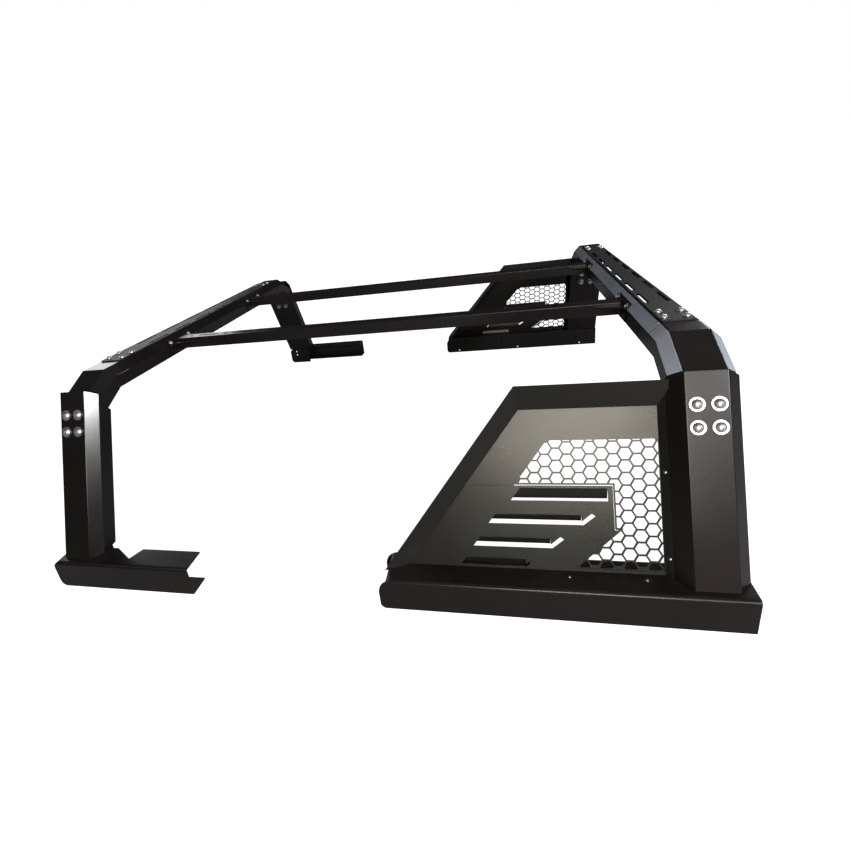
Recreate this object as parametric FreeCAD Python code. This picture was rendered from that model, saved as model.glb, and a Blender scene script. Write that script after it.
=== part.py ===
"""Pickup bed headache rack: two bolted hoops, two crossbars and two side sails.

Own frame: +X towards the cab, +Y to the left side, +Z up, millimetres.
The origin is the bottom centre of the rack, at the underside of the four bases.
Right-hand parts (negative Y) are modelled first and mirrored for the left side.
"""
import FreeCAD, Part
import math
import os

V = FreeCAD.Vector

# ---- overall layout ----
HOOP_X = 670.0           # each hoop centre line ahead of or behind the origin
HOOP_TOP = 461.0         # top of the bare hoop beams
BASE_H = 70.0            # height of the base channels
LEG_Y = 805.0            # outer face of a leg sleeve where it meets the base top
LEAN = math.radians(23.25)   # inward lean of the legs

# ---- hoop section (a box with two outer corners cut at 45 degrees) ----
HOOP_W = 109.0
HOOP_FACE = 65.0
HOOP_D = 54.0
HOOP_WALL = 3.0
LIP = 20.0               # return lip left at each side of the open beam underside
JOINT_Y = 506.0          # joint between a beam and its elbows
SHOULDER_Y = 563.0       # bend from the flat top to the sloping facet
KNEE_V = 379.0           # bend from the facet to the leg, measured up the sleeve face
PLUG_V = 236.0           # lower end of the elbow inside the sleeve
TONGUE_Y = 420.0         # inner end of the tongue that enters the beam
TONGUE_WALL = 2.5

# ---- leg sleeves ----
SLEEVE_GAP = 0.5
SLEEVE_WALL = 3.0
FRONT_SLEEVE = 376.0     # sleeve length up its outer face
REAR_SLEEVE = 399.0
LEG_BOLT_X = 17.0        # half spacing of the leg bolts across the leg
LEG_BOLT_ROWS = (55.0, 95.0)  # bolt rows below the sleeve top

# ---- bases ----
SHEET = 3.5
BASE_OUT = 821.0         # outer face of the outer web
BASE_IN = 736.0          # inner face of the inner flange
TOE_IN = 773.0           # inner edge of the bottom flange
FRONT_BASE = (75.0, 729.0)
REAR_FOOT = (-729.0, -361.0)
FOOT_CORNER_R = 16.0
FOOT_FLANGE_END = -630.0
FOOT_TOP_IN = 762.0
FOLD_OUT_R = 8.0         # outer radius of the base's top outer fold
NOSE_TOP_R = 30.0        # rounded rear nose of the front base, upper and lower corner
NOSE_LOW_R = 12.0
NOTCH_X = (-530.0, -515.0)   # narrow end and far side of the notch in the foot's top
NOTCH_Y = 795.0
BASE_HOLE_Z = (58.0, 40.0)
BASE_HOLE_R = 3.5
BASE_HOLE_X = (168.0, 327.0)
LEG_HOLE_DX = 26.0       # half spacing of the mounting holes under a leg
EDGE_HOLE_R = 3.0
EDGE_HOLE_Z = 9.0
EDGE_HOLE_X = (132.0, 397.0, 662.0)

# ---- crossbars ----
BAR_Y = 258.0
BAR_W = 40.0
BAR_H = 31.0
BAR_TOP = 449.0
BAR_WALL = 2.5
BAR_PITCH = 115.0        # spacing of the openings along the top flange
BAR_FOLD_R = 3.0
BAR_SLOT_L = 68.0
BAR_SLOT_W = 9.0
BAR_HOLE_R = 5.0
DIAMOND = (10.0, 7.0)    # half length and half width of a diamond opening
BRACKET_T = 3.0
BRACKET_HALF = 62.0
BRACKET_BOLT = 48.0
BRACKET_TAB = 10.6       # reach of the tab up the hoop chamfer, along X
BRACKET_SEAT = 5.6       # bolt seat on the tab, along X
BRACKET_FOOT = 4.0       # the side plate ends this far above the beam's underside
GUSSET_T = 2.5
GUSSET_DROP = 5.0        # gap between a gusset and the bar flange above it
GUSSET_REACH = 48.0
GUSSET_RUN = 68.0

# ---- top plates ----
PLATE_T = 3.0
PLATE_W = 62.0
PLATE_Y = 500.0
SLOT_ROW = 21.0
SLOT_L = 92.0
SLOT_W = 9.0
SLOT_PITCH = 125.0
PLATE_CORNER_R = 6.0
JOINT_BOLT_Y = (437.0, 477.0)

# ---- side strips on the chamfers of the front hoop ----
STRIP_T = 1.5
STRIP_EDGE = 1.4
STRIP_SEAM = 330.0       # seam between the long and the short strip
SEAM = 5.0

# ---- sail panels, drawn in the plane of the leaning leg face ----
SAIL_TOP = 366.0
SAIL_CORNER_X = 352.0
SAIL_SLOPE = 0.74        # run along X for each unit of rise
RIM_S = 12.0             # depth of the outer rim behind the leg face
PANEL_S = 34.0           # depth of the recessed panel
SAIL_BACK = 46.0         # depth of the rim's back edge
SAIL_T = 2.5
TOP_BEVEL = 46.0
SIDE_BEVEL = 41.0        # width of the slanted bevel along X
SLEEVE_SIDE_X = HOOP_X - HOOP_W / 2 - SLEEVE_GAP - SLEEVE_WALL
PANEL_END_X = 600.0
END_BEVEL_S = 10.0       # rise of the narrow bevel between the panel and the sleeve
WINDOW = [(408, 260), (599, 260), (599, 20), (453, 20), (453, 26),
          (526, 92), (520, 92), (520, 174), (344.4, 174)]
MESH_OUTLINE = [(405, 266), (606, 266), (606, 18), (454, 18), (454, 25),
                (528, 92), (521.5, 93.5), (521.5, 175.5), (338, 175.5)]
# the honeycomb stops at this line, which leaves a narrow solid border
MESH_BORDER = [(408.5, 263), (603, 263), (603, 21), (457.5, 21), (457.5, 24.5),
               (535.5, 95), (524.5, 96.5), (524.5, 178.5), (345.8, 178.5)]
MESH_T = 2.0
HEX_PITCH = 23.2
HEX_WEB = 3.2
HEX_START = (564.3, 244.9)
HEX_COLUMNS = range(-13, 4)
HEX_ROWS = range(-12, 4)
SMALLEST_CELL = 150.0    # volume of a cut cell below which the sheet stays solid
LOUVRE_LOW = 15.5        # lower edge of the louvre plate, just above the base
LOUVRE = [(252, 174), (520, 174), (520, 92), (526, 92), (453, 26), (453, LOUVRE_LOW), (134.7, LOUVRE_LOW)]
LOUVRE_T = 1.2
# each slot: left end, right end, lower edge, rise of the turned-up right end, clear height, blade height
SLOTS = [(338.0, 511.0, 146.0, 0.0, 3.5, 20.5),
         (294.0, 467.0, 101.0, 17.0, 6.5, 12.0),
         (263.0, 410.0, 56.0, 17.0, 6.5, 12.0),
         (238.0, 362.0, 20.0, 6.0, 4.0, 10.0)]
TURN_RUN = 1.25          # run along X of the turned-up end for each unit of rise
BLADE_DEPTH = 8.0
BLADE_T = 1.5
BLADE_TRIM = 1.0         # the panel opening stops this far below the top of a blade
SLOT_CLEARANCE = 1.5     # the panel opening is this much wider than the slot in front of it

# ---- fasteners ----
# screws: head radius, head height, shank radius, socket across flats
LEG_BOLT = (9.0, 5.5, 5.0, 6.0)
JOINT_BOLT = (6.5, 4.0, 4.0, 5.0)
BRACKET_SCREW = (6.5, 4.0, 3.0, 4.0)
SMALL_SCREW = (3.5, 2.2, 1.6, 2.2)
LEG_WASHER_T = 2.0
LEG_WASHER_R = 12.5
INNER_WASHER_R = 10.5
LEG_BOLT_END = 14.0      # length of a leg bolt beyond the inner face of the leg
LEG_NUT = (16.0, 8.0)    # nuts: across flats and height
JOINT_BOLT_L = 20.0
JOINT_WASHER_T = 1.6
JOINT_WASHER_R = 8.0
JOINT_NUT = (13.0, 6.5)
BRACKET_SCREW_L = 12.0
SAIL_SCREW_L = 2.0
SAIL_SCREW_V = (200.0, 45.0)
SAIL_SCREW_DX = 6.0      # from the end of the flat panel towards the sleeve
TOE_SCREW_X = (436.0, 566.0)
TOE_SCREW_IN = 22.0      # inboard of the sleeve's outer face

# ---- cutting solids reach this far past what they cut ----
PAST = 60.0
FAR_X = 760.0
FAR_V = 460.0

SIN = math.sin(LEAN)
COS = math.cos(LEAN)
TAN_HALF_45 = math.tan(math.radians(22.5))
CHAMFER_OUT = V(-1, 0, 1)    # out of the inner chamfer of the front hoop


# ---------- general helpers ----------
def mirrored(shape):
    """Left-hand copy of a right-hand part."""
    return shape.mirror(V(0, 0, 0), V(0, 1, 0))


def rear_copy(shape):
    """Copy of a front part for the rear hoop."""
    return shape.mirror(V(0, 0, 0), V(1, 0, 0))


def polygon_face(points):
    return Part.Face(Part.makePolygon(points + [points[0]]))


def solid_from_rings(rings):
    """Closed solid through rings of equal length with flat faces between them."""
    faces = [polygon_face(rings[0]), polygon_face(rings[-1])]
    count = len(rings[0])
    for a, b in zip(rings[:-1], rings[1:]):
        for i in range(count):
            j = (i + 1) % count
            faces.append(polygon_face([a[i], a[j], b[j], b[i]]))
    shell = Part.makeShell(faces)
    shell.sewShape()
    solid = Part.makeSolid(shell)
    if solid.Volume < 0:
        solid.reverse()
    return solid


def rod(radius, length, start, direction):
    return Part.makeCylinder(radius, length, start, direction)


def hex_prism(across_flats, height, start, direction):
    """Hexagonal prism standing on start along direction."""
    radius = across_flats / math.sqrt(3.0)
    points = []
    for i in range(6):
        angle = math.radians(60 * i)
        points.append(V(radius * math.cos(angle), radius * math.sin(angle), 0))
    prism = polygon_face(points).extrude(V(0, 0, height))
    prism.Placement = FreeCAD.Placement(start, FreeCAD.Rotation(V(0, 0, 1), direction))
    return prism


def slot_cutter(cx, cy, length, width, z0, z1, along_y=True):
    """Round-ended slot through the heights z0 to z1."""
    half = (length - width) / 2
    if along_y:
        box = Part.makeBox(width, 2 * half, z1 - z0, V(cx - width / 2, cy - half, z0))
        ends = [(cx, cy - half), (cx, cy + half)]
    else:
        box = Part.makeBox(2 * half, width, z1 - z0, V(cx - half, cy - width / 2, z0))
        ends = [(cx - half, cy), (cx + half, cy)]
    caps = [rod(width / 2, z1 - z0, V(x, y, z0), V(0, 0, 1)) for x, y in ends]
    return box.multiFuse(caps).removeSplitter()


def button_screw(size, shank_l, start, direction):
    """Button-head socket screw; direction points from the seat out of the head."""
    head_r, head_h, shank_r, socket = size
    dome = head_h * 0.8
    ball_r = (head_r ** 2 + dome ** 2) / (2 * dome)
    head = rod(head_r, head_h, V(0, 0, 0), V(0, 0, 1))
    head = head.common(Part.makeSphere(ball_r, V(0, 0, head_h - ball_r)))
    shank = rod(shank_r, shank_l, V(0, 0, -shank_l), V(0, 0, 1))
    screw = head.fuse(shank)
    screw = screw.cut(hex_prism(socket, head_h, V(0, 0, head_h * 0.35), V(0, 0, 1)))
    screw.Placement = FreeCAD.Placement(start, FreeCAD.Rotation(V(0, 0, 1), direction))
    return screw


def washer(outer_r, inner_r, height, start, direction):
    ring = rod(outer_r, height, V(0, 0, 0), V(0, 0, 1))
    ring = ring.cut(rod(inner_r, height, V(0, 0, 0), V(0, 0, 1)))
    ring.Placement = FreeCAD.Placement(start, FreeCAD.Rotation(V(0, 0, 1), direction))
    return ring


def nut(size, bore_r, start, direction):
    across_flats, height = size
    body = hex_prism(across_flats, height, V(0, 0, 0), V(0, 0, 1))
    body = body.cut(rod(bore_r, height, V(0, 0, 0), V(0, 0, 1)))
    body.Placement = FreeCAD.Placement(start, FreeCAD.Rotation(V(0, 0, 1), direction))
    return body


# ---------- the leaning leg plane ----------
def leg_point(x, v, s):
    """Right-hand point: x along the rack, v up the leg face, s in from the face."""
    return V(x, -(LEG_Y - v * SIN - s * COS), BASE_H + v * COS - s * SIN)


LEG_OUT = V(0, -COS, SIN)
LEG_UP = V(0, SIN, COS)


def leg_plate(points, s0, s1):
    """Flat plate in the leg plane between the depths s0 and s1."""
    face = polygon_face([leg_point(x, v, s0) for x, v in points])
    return face.extrude(LEG_OUT * (s0 - s1))


def above_base(shape):
    """Part of the shape above the base top."""
    box = Part.makeBox(1600, 700, 700, V(-800, -1000, BASE_H))
    return shape.common(box)


# ---------- hoop members ----------
def section(offset):
    """Hoop section moved outwards by offset, as (x, depth) corners."""
    width = HOOP_W / 2 + offset
    face = HOOP_FACE / 2 + offset * TAN_HALF_45
    top = -offset
    side = top + width - face
    low = HOOP_D + offset
    return [(-face, top), (face, top), (width, side), (width, low), (-width, low), (-width, side)]


def hoop_setback():
    return SLEEVE_GAP + SLEEVE_WALL


def knee_point():
    s = hoop_setback()
    return (LEG_Y - KNEE_V * SIN - s * COS, BASE_H + KNEE_V * COS - s * SIN)


def facet_normal():
    """Inward normal of the sloping facet as (outboard, up)."""
    ky, kz = knee_point()
    run = ky - SHOULDER_Y
    rise = HOOP_TOP - kz
    length = math.hypot(run, rise)
    return (-rise / length, -run / length)


def mitre(point, n1, n2, depth):
    """Corner of two lines moved inwards by depth from their common outer corner."""
    scale = depth / (1 + n1[0] * n2[0] + n1[1] * n2[1])
    return (point[0] + (n1[0] + n2[0]) * scale, point[1] + (n1[1] + n2[1]) * scale)


def at_flat(y, depth):
    return (y, HOOP_TOP - depth)


def at_shoulder(depth):
    return mitre((SHOULDER_Y, HOOP_TOP), (0, -1), facet_normal(), depth)


def at_knee(depth):
    return mitre(knee_point(), facet_normal(), (-COS, -SIN), depth)


def at_leg(v, depth):
    s = hoop_setback() + depth
    return (LEG_Y - v * SIN - s * COS, BASE_H + v * COS - s * SIN)


def mitre_slope():
    """Fall of the knee mitre plane along the leg for each unit of depth."""
    outer = at_knee(0)
    inner = at_knee(1)
    dy = inner[0] - outer[0]
    dz = inner[1] - outer[1]
    return dy * SIN - dz * COS


def ring_at(hoop_x, points, station):
    """Ring of points for one station of a right-hand hoop member."""
    ring = []
    for x, depth in points:
        y, z = station(depth)
        ring.append(V(hoop_x + x, -y, z))
    return ring


def member(hoop_x, points, stations):
    return solid_from_rings([ring_at(hoop_x, points, s) for s in stations])


def straight_prism(hoop_x, points, y0, y1):
    stations = [lambda d: at_flat(y0, d), lambda d: at_flat(y1, d)]
    return member(hoop_x, points, stations)


def hoop_beam(hoop_x):
    """Flat centre channel, open underneath between two return lips."""
    body = straight_prism(hoop_x, section(0), -JOINT_Y, JOINT_Y)
    body = body.cut(straight_prism(hoop_x, section(-HOOP_WALL), -JOINT_Y - 5, JOINT_Y + 5))
    gap = HOOP_W - 2 * LIP
    z_low = HOOP_TOP - HOOP_D
    body = body.cut(Part.makeBox(gap, 1200, 2 * HOOP_WALL, V(hoop_x - gap / 2, -600, z_low - 1)))
    return body.cut(top_slots(hoop_x)).cut(joint_bores(hoop_x))


def elbow(hoop_x):
    """Right-hand elbow: plug in the sleeve, sloping facet, tongue in the beam."""
    outer = member(hoop_x, section(0), [lambda d: at_flat(JOINT_Y, d), at_shoulder, at_knee,
                                        lambda d: at_leg(PLUG_V, d)])
    inner = member(hoop_x, section(-HOOP_WALL), [lambda d: at_flat(JOINT_Y - 2, d), at_shoulder,
                                                 at_knee, lambda d: at_leg(PLUG_V - 2, d)])
    body = outer.cut(inner)
    tongue = straight_prism(hoop_x, section(-HOOP_WALL), TONGUE_Y, JOINT_Y + 8)
    hollow = straight_prism(hoop_x, section(-HOOP_WALL - TONGUE_WALL), TONGUE_Y - 2, JOINT_Y + 10)
    gap = HOOP_W - 2 * LIP
    slot = Part.makeBox(gap, 100, 12, V(hoop_x - gap / 2, -JOINT_Y - 10, HOOP_TOP - HOOP_D - 2))
    tongue = tongue.cut(hollow).cut(slot)
    return body.fuse(tongue).removeSplitter()


def top_slots(hoop_x):
    """Two rows of long slots through the top of a hoop."""
    cutters = []
    for row in (-SLOT_ROW, SLOT_ROW):
        for k in range(6):
            y = (k - 2.5) * SLOT_PITCH
            cutters.append(slot_cutter(hoop_x + row, y, SLOT_L, SLOT_W, HOOP_TOP - 6, HOOP_TOP + 6))
    return cutters


def joint_places(hoop_x):
    """Positions of the bolts that hold the elbows in the beam."""
    places = []
    for side in (-1, 1):
        for row in (-SLOT_ROW, SLOT_ROW):
            for y in JOINT_BOLT_Y:
                places.append((hoop_x + row, side * y))
    return places


def joint_bores(hoop_x):
    bores = []
    for x, y in joint_places(hoop_x):
        bores.append(rod(JOINT_BOLT[2], 30, V(x, y, HOOP_TOP - 15), V(0, 0, 1)))
    return bores


def top_plate(hoop_x):
    """Thin slotted plate on top of a hoop beam."""
    size = V(hoop_x - PLATE_W / 2, -PLATE_Y, HOOP_TOP)
    plate = Part.makeBox(PLATE_W, 2 * PLATE_Y, PLATE_T, size)
    corners = [e for e in plate.Edges if abs(e.Vertexes[0].Z - e.Vertexes[-1].Z) > PLATE_T / 2]
    plate = plate.makeFillet(PLATE_CORNER_R, corners)
    return plate.cut(top_slots(hoop_x)).cut(joint_bores(hoop_x))


# ---------- leg sleeves ----------
def sleeve_top_v(length, depth):
    """Height of the mitred sleeve top at a depth below the hoop surface."""
    return length - mitre_slope() * depth


def leg_trim(hoop_x, length):
    """Wedge that keeps the sleeve below its mitred top."""
    drop = HOOP_W / 2 - HOOP_FACE / 2 + 2.0
    front = sleeve_top_v(FRONT_SLEEVE, drop)
    profile = [(-10, -80), (-10, sleeve_top_v(length, -10)), (drop, sleeve_top_v(length, drop)),
               (drop, front - 1.0), (90, sleeve_top_v(FRONT_SLEEVE, 90) - 1.0), (90, -80)]
    s0 = hoop_setback()
    points = [leg_point(hoop_x - 80, v, s0 + depth) for depth, v in profile]
    return polygon_face(points).extrude(V(160, 0, 0))


def leg_bolt_places(hoop_x, length):
    places = []
    for row in LEG_BOLT_ROWS:
        for dx in (-LEG_BOLT_X, LEG_BOLT_X):
            places.append((hoop_x + dx, length - row))
    return places


def leg_bores(hoop_x, length):
    return [rod(LEG_BOLT[2], 90, leg_point(x, v, 75), LEG_OUT) for x, v in leg_bolt_places(hoop_x, length)]


def sleeve(hoop_x, length):
    """Right-hand leg sleeve welded to the base, open at the top for the elbow."""
    low = -60.0
    outer = member(hoop_x, section(SLEEVE_GAP + SLEEVE_WALL),
                   [lambda d: at_leg(low, d), lambda d: at_leg(length + 30, d)])
    inner = member(hoop_x, section(SLEEVE_GAP),
                   [lambda d: at_leg(low - 2, d), lambda d: at_leg(length + 32, d)])
    body = outer.cut(inner).common(leg_trim(hoop_x, length))
    return above_base(body).cut(leg_bores(hoop_x, length))


# ---------- bases ----------
def base_strip(x0, x1, y_out, y_in, z0, z1):
    return Part.makeBox(x1 - x0, y_out - y_in, z1 - z0, V(x0, -y_out, z0))


def rounded_profile(x0, x1, top_r, low_r):
    """Side outline of a base with a rounded rear nose, extruded across it."""
    box = Part.makeBox(x1 - x0, 200, BASE_H, V(x0, -900, 0))
    top = [e for e in box.Edges if is_cross_edge(e, x0, BASE_H)]
    box = box.makeFillet(top_r, top)
    low = [e for e in box.Edges if is_cross_edge(e, x0, 0)]
    return box.makeFillet(low_r, low)


def is_cross_edge(edge, x, z):
    a = edge.Vertexes[0].Point
    b = edge.Vertexes[-1].Point
    return abs(a.x - x) < 0.01 and abs(b.x - x) < 0.01 and abs(a.z - z) < 0.01 and abs(b.z - z) < 0.01


def base_section(x0, x1, inner_x1, top_in):
    """Folded base channel: outer web, top, bottom flange and inner mounting flange."""
    web = base_strip(x0, x1, BASE_OUT, BASE_OUT - SHEET, 0, BASE_H)
    top = base_strip(x0, x1, BASE_OUT, top_in, BASE_H - SHEET, BASE_H)
    wide_top = base_strip(x0, inner_x1, BASE_OUT, BASE_IN, BASE_H - SHEET, BASE_H)
    flange = base_strip(x0, inner_x1, BASE_IN + SHEET, BASE_IN, 0, BASE_H)
    toe = base_strip(x0, x1, BASE_OUT, TOE_IN, 0, SHEET)
    body = web.multiFuse([top, wide_top, flange, toe]).removeSplitter()
    corner = [e for e in body.Edges if is_long_edge(e, -BASE_OUT, BASE_H)]
    return body.makeFillet(FOLD_OUT_R, corner)


def is_long_edge(edge, y, z):
    a = edge.Vertexes[0].Point
    b = edge.Vertexes[-1].Point
    return abs(a.y - y) < 0.01 and abs(b.y - y) < 0.01 and abs(a.z - z) < 0.01 and abs(b.z - z) < 0.01


def flange_holes(xs, heights, radius):
    holes = []
    for x in xs:
        for z in heights:
            holes.append(rod(radius, 20, V(x, -BASE_IN - 10, z), V(0, 1, 0)))
    return holes


def leg_hole_xs(hoop_x):
    return (hoop_x - LEG_HOLE_DX, hoop_x + LEG_HOLE_DX)


def front_base():
    x0, x1 = FRONT_BASE
    body = base_section(x0, x1, x1, BASE_IN)
    body = body.common(rounded_profile(x0, x1, NOSE_TOP_R, NOSE_LOW_R))
    holes = flange_holes(BASE_HOLE_X + leg_hole_xs(HOOP_X), BASE_HOLE_Z, BASE_HOLE_R)
    holes += flange_holes(EDGE_HOLE_X, (EDGE_HOLE_Z,), EDGE_HOLE_R)
    return body.cut(holes)


def rear_foot():
    x0, x1 = REAR_FOOT
    body = base_section(x0, x1, FOOT_FLANGE_END, FOOT_TOP_IN)
    body = body.common(rounded_profile(x0, x1, FOOT_CORNER_R, FOOT_CORNER_R))
    z_notch = BASE_H - 10
    narrow, side = NOTCH_X
    notch = [V(FOOT_FLANGE_END, -BASE_IN, z_notch), V(narrow, -NOTCH_Y, z_notch),
             V(side, -FOOT_TOP_IN, z_notch), V(side, -BASE_IN, z_notch)]
    body = body.cut(polygon_face(notch).extrude(V(0, 0, 20)))
    holes = flange_holes(leg_hole_xs(-HOOP_X), BASE_HOLE_Z, BASE_HOLE_R)
    return body.cut(holes)


# ---------- crossbars ----------
def bar_end_x():
    return HOOP_X - HOOP_W / 2 - BRACKET_T


def crossbar():
    """Right-hand crossbar, an inverted channel with openings along its top flange."""
    end = bar_end_x()
    y0 = -BAR_Y - BAR_W / 2
    body = Part.makeBox(2 * end, BAR_W, BAR_H, V(-end, y0, BAR_TOP - BAR_H))
    edges = [e for e in body.Edges if is_top_bar_edge(e)]
    body = body.makeFillet(BAR_FOLD_R, edges)
    inner = Part.makeBox(2 * end + 10, BAR_W - 2 * BAR_WALL, BAR_H,
                         V(-end - 5, y0 + BAR_WALL, BAR_TOP - BAR_H - BAR_WALL))
    return body.cut(inner).cut(bar_openings())


def is_top_bar_edge(edge):
    a = edge.Vertexes[0].Point
    b = edge.Vertexes[-1].Point
    return abs(a.z - BAR_TOP) < 0.01 and abs(b.z - BAR_TOP) < 0.01 and abs(a.x - b.x) > 100


def bar_openings():
    """Slots with diamonds and round holes between them."""
    cutters = []
    z0 = BAR_TOP - 8
    for k in range(-5, 6):
        x = k * BAR_PITCH
        if k % 2 == 0:
            long, wide = DIAMOND
            points = [V(x - long, -BAR_Y, z0), V(x, -BAR_Y - wide, z0),
                      V(x + long, -BAR_Y, z0), V(x, -BAR_Y + wide, z0)]
            cutters.append(polygon_face(points).extrude(V(0, 0, 16)))
        else:
            cutters.append(rod(BAR_HOLE_R, 16, V(x, -BAR_Y, z0), V(0, 0, 1)))
    for k in range(-5, 5):
        x = (k + 0.5) * BAR_PITCH
        cutters.append(slot_cutter(x, -BAR_Y, BAR_SLOT_L, BAR_SLOT_W, z0, z0 + 16, along_y=False))
    return cutters


def bracket():
    """Front right crossbar bracket: side plate, chamfer tab and two gussets."""
    x_in = HOOP_X - HOOP_W / 2
    z_low = HOOP_TOP - HOOP_D + BRACKET_FOOT
    z_edge = HOOP_TOP - (HOOP_W - HOOP_FACE) / 2
    tab = BRACKET_TAB
    t = BRACKET_T * math.sqrt(2.0)
    rise = t - BRACKET_T
    half_t = BRACKET_T / math.sqrt(2.0)
    profile = [(x_in, z_low), (x_in, z_edge), (x_in + tab, z_edge + tab),
               (x_in + tab - half_t, z_edge + tab + half_t), (x_in - BRACKET_T, z_edge + rise),
               (x_in - BRACKET_T, z_low)]
    y0 = -BAR_Y - BRACKET_HALF
    face = polygon_face([V(x, y0, z) for x, z in profile])
    body = face.extrude(V(0, 2 * BRACKET_HALF, 0))
    gussets = []
    z_gusset = BAR_TOP - BAR_WALL - GUSSET_T - GUSSET_DROP
    for side in (-1, 1):
        y_bar = -BAR_Y + side * BAR_W / 2
        y_far = -BAR_Y + side * GUSSET_REACH
        points = [V(x_in + 4, y_bar, z_gusset), V(x_in - GUSSET_RUN, y_bar, z_gusset),
                  V(x_in + 4, y_far, z_gusset)]
        gussets.append(polygon_face(points).extrude(V(0, 0, GUSSET_T)))
    body = body.multiFuse(gussets)
    hoop = straight_prism(HOOP_X, section(0), 100, 400)
    body = body.cut(hoop).removeSplitter()
    return body.cut(bracket_bores())


def bracket_seats():
    """Seats of the two bracket bolts on the chamfer tab."""
    x_in = HOOP_X - HOOP_W / 2
    z_edge = HOOP_TOP - (HOOP_W - HOOP_FACE) / 2
    half_t = BRACKET_T / math.sqrt(2.0)
    seats = []
    for side in (-1, 1):
        seats.append(V(x_in + BRACKET_SEAT - half_t, -BAR_Y + side * BRACKET_BOLT,
                       z_edge + BRACKET_SEAT + half_t))
    return seats


def bracket_bores():
    return [rod(BRACKET_SCREW[2], 24, seat - CHAMFER_OUT * 10, CHAMFER_OUT) for seat in bracket_seats()]


def bracket_bolt_pair():
    bolts = []
    for seat in bracket_seats():
        bolts.append(button_screw(BRACKET_SCREW, BRACKET_SCREW_L, seat, CHAMFER_OUT))
    return bolts


# ---------- side strips of the front hoop ----------
def strip_section(side):
    """Thin strip on one 45 degree chamfer, as (x, depth) corners."""
    a = HOOP_FACE / 2 + STRIP_EDGE
    b = HOOP_W / 2 - STRIP_EDGE
    low = b - HOOP_FACE / 2
    n = STRIP_T / math.sqrt(2.0)
    points = [(a, STRIP_EDGE), (b, low), (b + n, low - n), (a + n, STRIP_EDGE - n)]
    return [(side * x, depth) for x, depth in points]


def side_strips():
    """Strips on both chamfers of the front hoop, split by narrow seams."""
    pieces = []
    gap = SEAM / 2
    for side in (-1, 1):
        points = strip_section(side)
        pieces.append(straight_prism(HOOP_X, points, -STRIP_SEAM + gap, STRIP_SEAM - gap))
        short = straight_prism(HOOP_X, points, STRIP_SEAM + gap, JOINT_Y - gap)
        stations = [lambda d: at_flat(JOINT_Y + gap, d), at_shoulder, lambda d: strip_end(d)]
        corner = member(HOOP_X, points, stations)
        pieces += [short, corner, mirrored(short), mirrored(corner)]
    tabs = []
    for y in (-BAR_Y, BAR_Y):
        size = V(HOOP_X - HOOP_W / 2 - 8, y - BRACKET_HALF - 2, HOOP_TOP - 26)
        tabs.append(Part.makeBox(22, 2 * BRACKET_HALF + 4, 17.5, size))
    return [piece.cut(tabs) for piece in pieces]


def strip_end(depth):
    """Lower end of a corner strip, just above the sleeve top."""
    y, z = at_knee(depth)
    n = facet_normal()
    return (y + n[1] * 1.5, z - n[0] * 1.5)


# ---------- sails ----------
def slant_x(v):
    """Outer slanted edge of the sail at height v."""
    return SAIL_CORNER_X - SAIL_SLOPE * (SAIL_TOP - v)


def sail_outline(inset, right, low=-40.0):
    along = inset * math.hypot(1.0, SAIL_SLOPE)
    top = SAIL_TOP - inset
    return [(slant_x(low) + along, low), (slant_x(top) + along, top), (right, top), (right, low)]


def cavity(shift):
    """Convex space in front of the dished panel surface, moved back by shift."""
    block = leg_plate([(0, -PAST), (0, FAR_V), (FAR_X, FAR_V), (FAR_X, -PAST)], -40, PANEL_S + shift)
    depth = PANEL_S - RIM_S
    top_rate = depth / TOP_BEVEL
    high = SAIL_TOP + PAST
    low = SAIL_TOP - TOP_BEVEL
    top = wedge([(0, high), (FAR_X, high)], [(0, low), (FAR_X, low)],
                RIM_S - PAST * top_rate, PANEL_S, shift)
    side_rate = depth / SIDE_BEVEL
    x_low = slant_x(-PAST)
    x_high = slant_x(FAR_V)
    outer = [(x_low - PAST, -PAST), (x_high - PAST, FAR_V)]
    inner = [(x_low + SIDE_BEVEL, -PAST), (x_high + SIDE_BEVEL, FAR_V)]
    side = wedge(outer, inner, RIM_S - PAST * side_rate, PANEL_S, shift)
    far = [(PANEL_END_X + PAST, -PAST), (PANEL_END_X + PAST, FAR_V)]
    near = [(PANEL_END_X, -PAST), (PANEL_END_X, FAR_V)]
    end = wedge(far, near, PANEL_S - PAST * end_rate(), PANEL_S, shift)
    return block.cut([top, side, end])


def end_rate():
    """Rise of the narrow bevel beside the sleeve for each unit along X."""
    return END_BEVEL_S / (SLEEVE_SIDE_X - PANEL_END_X)


def wedge(outer, inner, outer_s, inner_s, shift):
    """Material behind one bevel: full depth at the outer line, none past the inner line."""
    back = PANEL_S + shift + 5
    a, b = outer
    c, d = inner
    start = [leg_point(a[0], a[1], outer_s + shift), leg_point(c[0], c[1], inner_s + shift),
             leg_point(c[0], c[1], back), leg_point(a[0], a[1], back)]
    stop = [leg_point(b[0], b[1], outer_s + shift), leg_point(d[0], d[1], inner_s + shift),
            leg_point(d[0], d[1], back), leg_point(b[0], b[1], back)]
    return solid_from_rings([start, stop])


def slot_outline(slot, trim=0.0, grow=0.0):
    """Outline of one louvre slot and the blade above it; the right end turns up to a point."""
    left, right, low, rise, height, blade = slot
    bottom = low - grow
    sill = low + height + grow
    top = sill + blade - trim
    start = left - grow
    stop = right + grow
    lean = SAIL_SLOPE * (top - bottom)
    if rise == 0.0:
        return [(start, bottom), (stop, bottom), (stop, top), (start + lean, top)]
    tip = stop + rise * TURN_RUN
    neck = stop - height / 2
    return [(start, bottom), (stop, bottom), (tip, bottom + rise),
            (tip - height, sill + rise - height / 3), (neck, sill), (neck, top), (start + lean, top)]


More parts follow.
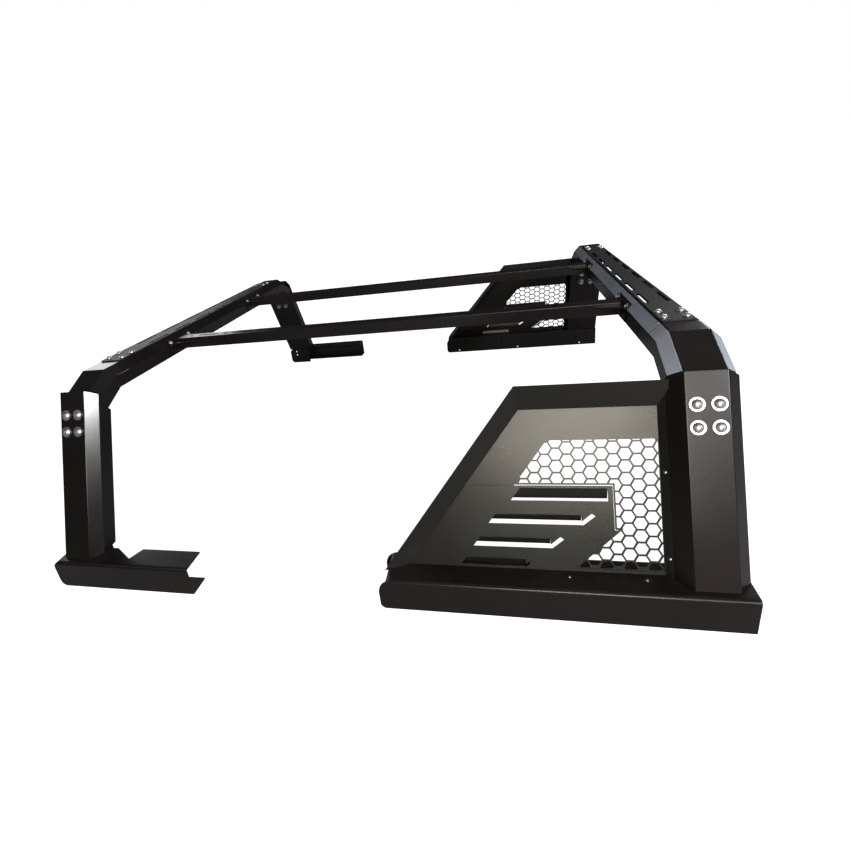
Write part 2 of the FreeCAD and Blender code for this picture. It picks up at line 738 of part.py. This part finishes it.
def sail_panel():
    """Dished side panel with a rim, bevels, mesh window and louvre openings."""
    right = HOOP_X - 20
    shell = leg_plate(sail_outline(0, right), RIM_S, SAIL_BACK)
    hollow = leg_plate(sail_outline(SAIL_T, right + 5, -50.0), RIM_S - 10, SAIL_BACK + 10)
    body = shell.cut(cavity(0)).cut(hollow.cut(cavity(SAIL_T)))
    solid_leg = member(HOOP_X, section(SLEEVE_GAP + SLEEVE_WALL),
                       [lambda d: at_leg(-PAST, d), lambda d: at_leg(FRONT_SLEEVE + 40, d)])
    edge = SLEEVE_SIDE_X + 4
    keep = leg_plate([(0, -PAST), (0, FAR_V), (edge, FAR_V), (edge, -PAST)], 0, PAST)
    body = above_base(body.common(keep).cut(solid_leg))
    body = max(body.Solids, key=lambda s: s.Volume)
    cutters = [leg_plate(WINDOW, RIM_S - 5, SAIL_BACK + 5)]
    for slot in SLOTS:
        outline = slot_outline(slot, BLADE_TRIM, SLOT_CLEARANCE)
        cutters.append(leg_plate(clamped(outline, LOUVRE_LOW), PANEL_S - 1, PANEL_S + 5))
    return body.cut(cutters).cut(sail_screws())


def clamped(points, low):
    """Outline raised to the height low wherever it goes below it."""
    return [(x, max(v, low)) for x, v in points]


def sail_mesh():
    """Honeycomb sheet behind the window."""
    s0 = PANEL_S + SAIL_T
    sheet = leg_plate(MESH_OUTLINE, s0, s0 + MESH_T)
    radius = (HEX_PITCH - HEX_WEB) / math.sqrt(3.0)
    step = HEX_PITCH * math.sqrt(3.0) / 2
    inner = leg_plate(MESH_BORDER, s0 - 2, s0 + MESH_T + 2)
    cells = []
    for col in HEX_COLUMNS:
        for row in HEX_ROWS:
            cx = HEX_START[0] + col * step
            cv = HEX_START[1] + row * HEX_PITCH + (HEX_PITCH / 2 if col % 2 else 0)
            points = []
            for i in range(6):
                angle = math.radians(60 * i)
                points.append((cx + radius * math.cos(angle), cv + radius * math.sin(angle)))
            cells.append(leg_plate(points, s0 - 1, s0 + MESH_T + 1).common(inner))
    return sheet.cut([cell for cell in cells if cell.Volume > SMALLEST_CELL])


def louvre_plate():
    """Flat plate over the lower left of the window with four slots."""
    plate = leg_plate(LOUVRE, PANEL_S - LOUVRE_T, PANEL_S)
    cutters = []
    for slot in SLOTS:
        outline = slot_outline(slot)
        cutters.append(leg_plate(outline, PANEL_S - LOUVRE_T - 2, PANEL_S + 2))
    return plate.cut(cutters)


def louvre_blades():
    """One inward-sloping blade above each slot, cut to the slant of the panel."""
    blades = []
    for left, right, low, rise, height, blade in SLOTS:
        bottom = low + height
        top = bottom + blade
        x_end = right if rise == 0.0 else right - height / 2
        s_top = PANEL_S - LOUVRE_T
        s_low = s_top + BLADE_DEPTH
        profile = [(top, s_top), (top, s_top + BLADE_T), (bottom, s_low + BLADE_T), (bottom, s_low)]
        start = [leg_point(left + SAIL_SLOPE * (v - low), v, s) for v, s in profile]
        stop = [leg_point(x_end, v, s) for v, s in profile]
        blades.append(solid_from_rings([start, stop]))
    return blades


def sail_screws():
    """Small screws fixing the right edge of the panel and its foot."""
    screws = []
    rate = end_rate()
    across = V(-rate, 0, 0) + LEG_OUT
    x = PANEL_END_X + SAIL_SCREW_DX
    for v in SAIL_SCREW_V:
        seat = leg_point(x, v, PANEL_S - rate * SAIL_SCREW_DX)
        screws.append(button_screw(SMALL_SCREW, SAIL_SCREW_L, seat, across))
    return screws


def toe_screws():
    """Small screws in the base top just outside the sail."""
    screws = []
    for x in TOE_SCREW_X:
        seat = V(x, -LEG_Y + TOE_SCREW_IN, BASE_H)
        screws.append(button_screw(SMALL_SCREW, SHEET, seat, V(0, 0, 1)))
    return screws


# ---------- fasteners ----------
def leg_fasteners(kind):
    """Bolts, washers or nuts of the four legs, right side then left."""
    pieces = []
    back = SLEEVE_WALL * 2 + SLEEVE_GAP * 2 + HOOP_D
    bolt_r = LEG_BOLT[2]
    for hoop_x, length in ((HOOP_X, FRONT_SLEEVE), (-HOOP_X, REAR_SLEEVE)):
        for x, v in leg_bolt_places(hoop_x, length):
            outer = leg_point(x, v, 0)
            inner = leg_point(x, v, back)
            if kind == "bolt":
                seat = outer + LEG_OUT * LEG_WASHER_T
                pieces.append(button_screw(LEG_BOLT, back + LEG_BOLT_END, seat, LEG_OUT))
            elif kind == "washer":
                pieces.append(washer(LEG_WASHER_R, bolt_r, LEG_WASHER_T, outer, LEG_OUT))
                pieces.append(washer(INNER_WASHER_R, bolt_r, LEG_WASHER_T, inner, LEG_OUT * -1))
            else:
                pieces.append(nut(LEG_NUT, bolt_r, inner - LEG_OUT * LEG_WASHER_T, LEG_OUT * -1))
    return pieces + [mirrored(p) for p in pieces]


def joint_fasteners(kind):
    """Bolts, washers or nuts of the beam joints."""
    pieces = []
    top = HOOP_TOP + PLATE_T
    below = HOOP_TOP - HOOP_WALL - TONGUE_WALL
    bolt_r = JOINT_BOLT[2]
    up = V(0, 0, 1)
    for hoop_x in (HOOP_X, -HOOP_X):
        for x, y in joint_places(hoop_x):
            if kind == "bolt":
                pieces.append(button_screw(JOINT_BOLT, JOINT_BOLT_L, V(x, y, top + JOINT_WASHER_T), up))
            elif kind == "washer":
                pieces.append(washer(JOINT_WASHER_R, bolt_r, JOINT_WASHER_T, V(x, y, top), up))
            else:
                pieces.append(nut(JOINT_NUT, bolt_r, V(x, y, below), up * -1))
    return pieces


def export(node, shape):
    if isinstance(shape, list):
        shape = Part.makeCompound(shape)
    shape.exportStep("parts/" + node + ".step")


def main():
    os.makedirs("parts", exist_ok=True)
    pairs = {
        "front_base": front_base().cut(toe_screws()),
        "rear_foot": rear_foot(),
        "front_sleeve": sleeve(HOOP_X, FRONT_SLEEVE),
        "rear_sleeve": sleeve(-HOOP_X, REAR_SLEEVE),
        "front_elbow": elbow(HOOP_X).cut(leg_bores(HOOP_X, FRONT_SLEEVE) + joint_bores(HOOP_X)),
        "rear_elbow": elbow(-HOOP_X).cut(leg_bores(-HOOP_X, REAR_SLEEVE) + joint_bores(-HOOP_X)),
        "crossbar": crossbar(),
        "front_bracket": bracket(),
        "rear_bracket": rear_copy(bracket()),
        "sail_panel": sail_panel(),
        "sail_mesh": sail_mesh(),
        "louvre_plate": louvre_plate(),
        "louvre_blades": Part.makeCompound(louvre_blades()),
    }
    for name, shape in pairs.items():
        export(name + "_right", shape)
        export(name + "_left", mirrored(shape))
    front_bores = bracket_bores()
    front_bores = front_bores + [mirrored(b) for b in front_bores]
    export("front_beam", hoop_beam(HOOP_X).cut(front_bores))
    export("rear_beam", hoop_beam(-HOOP_X).cut([rear_copy(b) for b in front_bores]))
    export("front_top_plate", top_plate(HOOP_X))
    export("rear_top_plate", top_plate(-HOOP_X))
    export("front_side_strips", side_strips())
    bolts = bracket_bolt_pair()
    bolts = bolts + [rear_copy(b) for b in bolts]
    export("bracket_bolts", bolts + [mirrored(b) for b in bolts])
    small = sail_screws() + toe_screws()
    export("sail_screws", small + [mirrored(s) for s in small])
    export("leg_bolts", leg_fasteners("bolt"))
    export("leg_washers", leg_fasteners("washer"))
    export("leg_nuts", leg_fasteners("nut"))
    export("joint_bolts", joint_fasteners("bolt"))
    export("joint_washers", joint_fasteners("washer"))
    export("joint_nuts", joint_fasteners("nut"))


main()
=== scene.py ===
"""Looks of the headache rack: powder-coated folded steel, stainless fasteners, soft studio light."""

import math

import bmesh
import bpy
from mathutils import Matrix, Vector


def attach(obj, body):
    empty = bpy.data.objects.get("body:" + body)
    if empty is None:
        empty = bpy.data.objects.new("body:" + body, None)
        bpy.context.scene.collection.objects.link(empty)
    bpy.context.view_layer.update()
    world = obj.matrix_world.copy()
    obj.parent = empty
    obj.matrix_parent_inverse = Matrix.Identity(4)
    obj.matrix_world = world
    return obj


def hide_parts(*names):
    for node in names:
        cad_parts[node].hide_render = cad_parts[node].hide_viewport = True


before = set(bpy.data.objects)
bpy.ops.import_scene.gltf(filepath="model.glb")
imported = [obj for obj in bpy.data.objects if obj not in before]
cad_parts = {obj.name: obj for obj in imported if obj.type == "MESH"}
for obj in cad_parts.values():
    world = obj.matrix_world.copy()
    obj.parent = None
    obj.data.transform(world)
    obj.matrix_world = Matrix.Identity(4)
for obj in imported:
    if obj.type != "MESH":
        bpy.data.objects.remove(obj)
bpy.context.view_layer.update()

# ---- finish of the folded sheet, in metres ----
FOLD_R = 0.0045          # outer radius of a fold in the channels
PANEL_FOLD_R = 0.004
THIN_FOLD_R = 0.0015     # crossbars and brackets
EDGE_R = 0.0006          # broken edge of cut sheet
CROSSBAR_EDGE_R = 0.0005
STRIP_EDGE_R = 0.0004
FOLD_SEGMENTS = 4
EDGE_SEGMENTS = 2
ROUND_PROFILE = 0.5
WELD_DISTANCE = 1e-6
FLAT = math.radians(0.4)     # faces that differ by less are joined into one
SHARP = math.radians(25)     # an edge that turns by more is rounded
CREASE = math.radians(40)    # an edge that still turns by more is shaded sharp
WIDE_FACE = 0.008        # an edge with faces wider than this on both sides is a fold
WORN_FACES = "worn"      # marks the faces of broken edges, where the coat rubs through

# ---- coat and steel ----
WORN_COLOUR = (0.045, 0.043, 0.042)
DUST_COLOUR = (0.30, 0.29, 0.27)
DUST_AMOUNT = 0.012
WEAR_AMOUNT = 0.8
SPECKLE_AMOUNT = 0.35
DARKER = 0.72
LIGHTER = 1.3
STAINED = 0.7
PATCH_SCALE = 3.0        # noise scales: larger is finer
RUBBED_SCALE = 5.0
SMUDGE_SCALE = 9.0
WEAR_SCALE = 38.0
STAIN_SCALE = 60.0
PEEL_SCALE = 160.0
SPECKLE_SCALE = 420.0
SCRATCH_SCALE = 900.0
GRAIN_SCALE = 1300.0
NO_TINT = (1.0, 1.0, 1.0)

# ---- camera, in metres and degrees ----
CAMERA_AT = Vector((0.3411, -1.5593, 0.7901))
CAMERA_YAW = -16.39
CAMERA_PITCH = 21.49
CAMERA_ROLL = -8.94
CAMERA_LENS = 21.27
SENSOR_WIDTH = 36.0      # millimetres, like the lens
CAMERA_SHIFT = (0.0645, -0.0461)

# ---- light ----
ROOM_LIGHT = 0.035
ROOM_COLOUR = (0.80, 0.88, 1.0, 1.0)
SUN_LIGHT = 0.25
SUN_ANGLE = math.radians(70)
WARM = (1.0, 0.92, 0.84)
PLAIN_WHITE = (1.0, 1.0, 1.0)
BACKDROP_WHITE = (1.0, 1.0, 1.0, 1.0)

# ---- floor ----
FLOOR_REACH = 60.0
FLOOR_GLOW = 0.98        # seen by the camera only
FLOOR_DARKER = (0.29, 0.30, 0.32)
FLOOR_LIGHTER = (0.32, 0.33, 0.35)


# ---------- materials ----------
def new_material(name):
    material = bpy.data.materials.new(name)
    material.use_nodes = True
    return material, material.node_tree.nodes, material.node_tree.links


def noise(nodes, links, coords, scale, detail=4.0):
    node = nodes.new("ShaderNodeTexNoise")
    node.inputs["Scale"].default_value = scale
    node.inputs["Detail"].default_value = detail
    links.new(coords, node.inputs["Vector"])
    return node.outputs["Fac"]


def spread(nodes, links, value, low, high, start=0.3, stop=0.7):
    """Map a value from start..stop to low..high."""
    node = nodes.new("ShaderNodeMapRange")
    node.inputs["From Min"].default_value = start
    node.inputs["From Max"].default_value = stop
    node.inputs["To Min"].default_value = low
    node.inputs["To Max"].default_value = high
    links.new(value, node.inputs["Value"])
    return node.outputs["Result"]


def mix_colour(nodes, links, factor, a, b):
    node = nodes.new("ShaderNodeMix")
    node.data_type = "RGBA"
    links.new(factor, node.inputs["Factor"])
    for socket, value in ((node.inputs[6], a), (node.inputs[7], b)):
        if isinstance(value, bpy.types.NodeSocket):
            links.new(value, socket)
        else:
            socket.default_value = (*value, 1.0)
    return node.outputs[2]


def times(nodes, links, a, b):
    node = nodes.new("ShaderNodeMath")
    node.operation = "MULTIPLY"
    links.new(a, node.inputs[0])
    links.new(b, node.inputs[1])
    return node.outputs["Value"]


def bump(nodes, links, height, strength, distance, normal=None):
    node = nodes.new("ShaderNodeBump")
    node.inputs["Strength"].default_value = strength
    node.inputs["Distance"].default_value = distance
    links.new(height, node.inputs["Height"])
    if normal is not None:
        links.new(normal, node.inputs["Normal"])
    return node.outputs["Normal"]


def powder_coat(name, colour, roughness, grain=0.5, specular=0.5, tint=NO_TINT):
    """Fine-textured powder coat with faint dust on top and rubbed corners."""
    material, nodes, links = new_material(name)
    shader = nodes["Principled BSDF"]
    coords = nodes.new("ShaderNodeTexCoord").outputs["Object"]
    geometry = nodes.new("ShaderNodeNewGeometry")
    rounded = nodes.new("ShaderNodeAttribute")
    rounded.attribute_name = WORN_FACES
    patches = noise(nodes, links, coords, PATCH_SCALE)
    speckle = noise(nodes, links, coords, SPECKLE_SCALE, detail=2.0)
    darker = tuple(DARKER * c for c in colour)
    lighter = tuple(LIGHTER * c for c in colour)
    base = mix_colour(nodes, links, spread(nodes, links, patches, 0.0, 1.0), darker, lighter)
    flecks = spread(nodes, links, speckle, 0.0, SPECKLE_AMOUNT, start=0.55, stop=0.75)
    flecked = mix_colour(nodes, links, flecks, base, tuple(1.9 * c + 0.0015 for c in colour))
    rubbing = noise(nodes, links, coords, WEAR_SCALE, detail=5.0)
    bare = spread(nodes, links, rubbing, 0.0, WEAR_AMOUNT, start=0.42, stop=0.66)
    wear = times(nodes, links, rounded.outputs["Fac"], bare)
    worn = mix_colour(nodes, links, wear, flecked, WORN_COLOUR)
    separate = nodes.new("ShaderNodeSeparateXYZ")
    links.new(geometry.outputs["Normal"], separate.inputs["Vector"])
    smudge = noise(nodes, links, coords, SMUDGE_SCALE, detail=6.0)
    facing_up = spread(nodes, links, separate.outputs["Z"], 0.0, DUST_AMOUNT, start=0.3, stop=1.0)
    uneven = spread(nodes, links, smudge, 0.0, 1.0, start=0.35, stop=0.7)
    settled = times(nodes, links, facing_up, uneven)
    dusty = mix_colour(nodes, links, settled, worn, DUST_COLOUR)
    links.new(dusty, shader.inputs["Base Color"])
    rubbed = noise(nodes, links, coords, RUBBED_SCALE, detail=5.0)
    gloss = spread(nodes, links, rubbed, roughness - 0.02, roughness + 0.03)
    links.new(gloss, shader.inputs["Roughness"])
    shader.inputs["Specular IOR Level"].default_value = specular
    shader.inputs["Specular Tint"].default_value = (*tint, 1.0)
    orange_peel = noise(nodes, links, coords, PEEL_SCALE, detail=2.0)
    fine_grain = noise(nodes, links, coords, GRAIN_SCALE, detail=1.0)
    peel = bump(nodes, links, orange_peel, strength=0.12 * grain, distance=0.0006)
    fine = bump(nodes, links, fine_grain, strength=0.35 * grain, distance=0.0002, normal=peel)
    links.new(fine, shader.inputs["Normal"])
    return material


def steel(name, colour, roughness):
    """Turned stainless steel with fine scratches."""
    material, nodes, links = new_material(name)
    shader = nodes["Principled BSDF"]
    coords = nodes.new("ShaderNodeTexCoord").outputs["Object"]
    stains = noise(nodes, links, coords, STAIN_SCALE, detail=5.0)
    darker = tuple(STAINED * c for c in colour)
    base = mix_colour(nodes, links, spread(nodes, links, stains, 0.0, 1.0), darker, colour)
    links.new(base, shader.inputs["Base Color"])
    shader.inputs["Metallic"].default_value = 1.0
    scratch = noise(nodes, links, coords, SCRATCH_SCALE, detail=3.0)
    gloss = spread(nodes, links, scratch, roughness - 0.06, roughness + 0.12)
    links.new(gloss, shader.inputs["Roughness"])
    links.new(bump(nodes, links, scratch, strength=0.2, distance=0.0001), shader.inputs["Normal"])
    return material


def floor_material():
    """Pale floor: a glow that only the camera sees keeps it white without lighting the rack from below."""
    material, nodes, links = new_material("pale_floor")
    shader = nodes["Principled BSDF"]
    coords = nodes.new("ShaderNodeTexCoord").outputs["Object"]
    tone = noise(nodes, links, coords, 1.5)
    links.new(mix_colour(nodes, links, tone, FLOOR_DARKER, FLOOR_LIGHTER), shader.inputs["Base Color"])
    shader.inputs["Roughness"].default_value = 0.9
    shader.inputs["Specular IOR Level"].default_value = 0.1
    shader.inputs["Emission Color"].default_value = BACKDROP_WHITE
    path = nodes.new("ShaderNodeLightPath")
    glow = spread(nodes, links, path.outputs["Is Camera Ray"], 0.0, FLOOR_GLOW, start=0.0, stop=1.0)
    links.new(glow, shader.inputs["Emission Strength"])
    return material


# ---------- finished copies of the CAD pieces ----------
def face_width(face):
    longest = max(edge.calc_length() for edge in face.edges)
    return face.calc_area() / longest


def is_bend(edge, angle):
    return len(edge.link_faces) == 2 and edge.calc_face_angle(0.0) > angle


def finished(node, material, fold=FOLD_R, edge_radius=EDGE_R):
    """A copy of a CAD piece with rounded folds and broken edges, shown in its place.

    With fold=None it has no folds to round, only edges to break.
    """
    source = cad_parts[node]
    mesh = source.data.copy()
    mesh.name = node + "_finished"
    shape = bmesh.new()
    shape.from_mesh(mesh)
    bmesh.ops.remove_doubles(shape, verts=shape.verts, dist=WELD_DISTANCE)
    bmesh.ops.dissolve_limit(shape, angle_limit=FLAT, verts=shape.verts, edges=shape.edges)
    if fold:
        folds = [e for e in shape.edges
                 if is_bend(e, SHARP) and min(face_width(f) for f in e.link_faces) > WIDE_FACE]
        if folds:
            bmesh.ops.bevel(shape, geom=folds, offset=fold, segments=FOLD_SEGMENTS,
                            profile=ROUND_PROFILE, affect="EDGES", clamp_overlap=True)
    worn = shape.faces.layers.float.new(WORN_FACES)
    edges = [e for e in shape.edges if is_bend(e, SHARP)]
    broken = bmesh.ops.bevel(shape, geom=edges, offset=edge_radius, segments=EDGE_SEGMENTS,
                             profile=ROUND_PROFILE, affect="EDGES", clamp_overlap=True)
    for face in broken["faces"]:
        face[worn] = 1.0
    for face in shape.faces:
        face.smooth = True
    for edge in shape.edges:
        edge.smooth = not is_bend(edge, CREASE)
    shape.to_mesh(mesh)
    shape.free()
    mesh.materials.clear()
    mesh.materials.append(material)
    piece = bpy.data.objects.new(node + "_finished", mesh)
    bpy.context.scene.collection.objects.link(piece)
    weighted = piece.modifiers.new("even_normals", "WEIGHTED_NORMAL")
    weighted.keep_sharp = True
    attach(piece, "root")
    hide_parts(node)


def paint(node, material):
    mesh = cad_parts[node].data
    mesh.materials.clear()
    mesh.materials.append(material)


# ---------- studio ----------
def camera_axes():
    yaw = math.radians(CAMERA_YAW)
    pitch = math.radians(CAMERA_PITCH)
    roll = math.radians(CAMERA_ROLL)
    forward = Vector((math.sin(yaw) * math.cos(pitch), math.cos(yaw) * math.cos(pitch), -math.sin(pitch)))
    right = Vector((math.cos(yaw), -math.sin(yaw), 0.0))
    up = right.cross(forward)
    turned_right = math.cos(roll) * right + math.sin(roll) * up
    turned_up = -math.sin(roll) * right + math.cos(roll) * up
    return turned_right, turned_up, forward


def make_camera():
    right, up, forward = camera_axes()
    data = bpy.data.cameras.new("camera")
    data.lens = CAMERA_LENS
    data.sensor_width = SENSOR_WIDTH
    data.shift_x, data.shift_y = CAMERA_SHIFT
    camera = bpy.data.objects.new("camera", data)
    bpy.context.scene.collection.objects.link(camera)
    turn = Matrix((right, up, -forward)).transposed().to_4x4()
    camera.matrix_world = Matrix.Translation(CAMERA_AT) @ turn
    bpy.context.scene.camera = camera


def softbox(name, at, target, width, height, power, colour=PLAIN_WHITE):
    """Rectangular area light, sizes in metres and power in watts."""
    data = bpy.data.lights.new(name, "AREA")
    data.shape = "RECTANGLE"
    data.size = width
    data.size_y = height
    data.energy = power
    data.color = colour
    light = bpy.data.objects.new(name, data)
    bpy.context.scene.collection.objects.link(light)
    light.location = at
    light.rotation_euler = (Vector(target) - Vector(at)).to_track_quat("-Z", "Y").to_euler()


def make_world():
    """White backdrop to the camera, dim room to the rack."""
    world = bpy.data.worlds.new("studio")
    bpy.context.scene.world = world
    world.use_nodes = True
    nodes = world.node_tree.nodes
    links = world.node_tree.links
    room = nodes["Background"]
    room.inputs["Color"].default_value = ROOM_COLOUR
    room.inputs["Strength"].default_value = ROOM_LIGHT
    backdrop = nodes.new("ShaderNodeBackground")
    backdrop.inputs["Color"].default_value = BACKDROP_WHITE
    path = nodes.new("ShaderNodeLightPath")
    mix = nodes.new("ShaderNodeMixShader")
    links.new(path.outputs["Is Camera Ray"], mix.inputs["Fac"])
    links.new(room.outputs["Background"], mix.inputs[1])
    links.new(backdrop.outputs["Background"], mix.inputs[2])
    links.new(mix.outputs["Shader"], nodes["World Output"].inputs["Surface"])


def make_sun():
    """Soft overhead fill."""
    data = bpy.data.lights.new("overhead", "SUN")
    data.energy = SUN_LIGHT
    data.angle = SUN_ANGLE
    sun = bpy.data.objects.new("overhead", data)
    bpy.context.scene.collection.objects.link(sun)
    sun.rotation_euler = (math.radians(-8), math.radians(6), 0.0)


def make_floor():
    mesh = bpy.data.meshes.new("floor")
    r = FLOOR_REACH
    mesh.from_pydata([(-r, -r, 0.0), (r, -r, 0.0), (r, r, 0.0), (-r, r, 0.0)], [], [(0, 1, 2, 3)])
    mesh.materials.append(floor_material())
    ground = bpy.data.objects.new("floor", mesh)
    bpy.context.scene.collection.objects.link(ground)


def make_studio():
    bpy.context.scene.view_settings.view_transform = "Standard"
    make_world()
    make_sun()
    make_floor()
    # key: sail panel and front leg; window: highlight down the near rear leg
    softbox("key", at=(0.75, -3.3, 1.3), target=(0.4, -0.7, 0.3), width=1.1, height=0.8, power=88.0,
            colour=WARM)
    softbox("window", at=(3.6, -4.55, 2.5), target=(-0.6, -0.7, 0.3), width=0.8, height=0.7, power=480.0)
    # back_left: tops of the rear hoop; back_right: tops of the front hoop and its bolts
    softbox("back_left", at=(-3.4, 2.3, 1.4), target=(-0.6, 0.0, 0.3), width=2.6, height=1.6, power=38.0)
    softbox("back_right", at=(3.6, 4.2, 1.9), target=(-0.5, 0.6, 0.3), width=1.6, height=1.4, power=125.0)
    # strip_fill: grey strips on the front hoop
    softbox("strip_fill", at=(-1.6, -2.2, 1.6), target=(0.6, -0.3, 0.45), width=1.0, height=0.6, power=5.0)


# ---------- the rack ----------
black = powder_coat("black_powder_coat", (0.0042, 0.0030, 0.0028), 0.27, specular=0.20)
panel_black = powder_coat("panel_powder_coat", (0.0052, 0.0051, 0.0042), 0.28, specular=0.21,
                          tint=(0.98, 0.99, 0.93))
plate_black = powder_coat("plate_powder_coat", (0.012, 0.012, 0.013), 0.5, specular=0.12)
# The side strips are real pieces, but their light blue-grey colour is partly painted reflection: it stands
# in for the lights reflected in glossy black chamfers.
strip_grey_painted_reflection = powder_coat("strip_paint_painted_reflection", (0.23, 0.26, 0.30), 0.3, grain=0.25, specular=0.3)
gloss_black = powder_coat("gloss_powder_coat", (0.0042, 0.0036, 0.0036), 0.17, grain=0.2, specular=0.22)
stainless = steel("stainless_steel", (0.24, 0.24, 0.245), 0.36)
washer_steel = steel("washer_steel", (0.46, 0.46, 0.47), 0.36)
bright_steel = steel("bright_steel", (0.82, 0.82, 0.83), 0.30)

for side in ("right", "left"):
    for name in ("front_base", "rear_foot", "front_sleeve", "front_elbow"):
        finished(name + "_" + side, black)
    for name in ("rear_sleeve", "rear_elbow"):
        finished(name + "_" + side, gloss_black)
    finished("crossbar_" + side, black, fold=THIN_FOLD_R, edge_radius=CROSSBAR_EDGE_R)
    finished("front_bracket_" + side, black, fold=THIN_FOLD_R)
    finished("rear_bracket_" + side, black, fold=THIN_FOLD_R)
    finished("sail_panel_" + side, panel_black, fold=PANEL_FOLD_R)
    finished("louvre_plate_" + side, panel_black, fold=None)
    finished("louvre_blades_" + side, panel_black, fold=None)
    paint("sail_mesh_" + side, panel_black)
for end in ("front", "rear"):
    finished(end + "_beam", black)
    finished(end + "_top_plate", plate_black, fold=None)
# the strips' light blue-grey is partly painted reflection of the lights on the chamfers
finished("front_side_strips", strip_grey_painted_reflection, fold=None, edge_radius=STRIP_EDGE_R)
for name in ("sail_screws", "leg_nuts", "joint_nuts"):
    paint(name, stainless)
for name in ("leg_bolts", "leg_washers", "bracket_bolts"):
    paint(name, washer_steel)
for name in ("joint_bolts", "joint_washers"):
    paint(name, bright_steel)

make_camera()
make_studio()
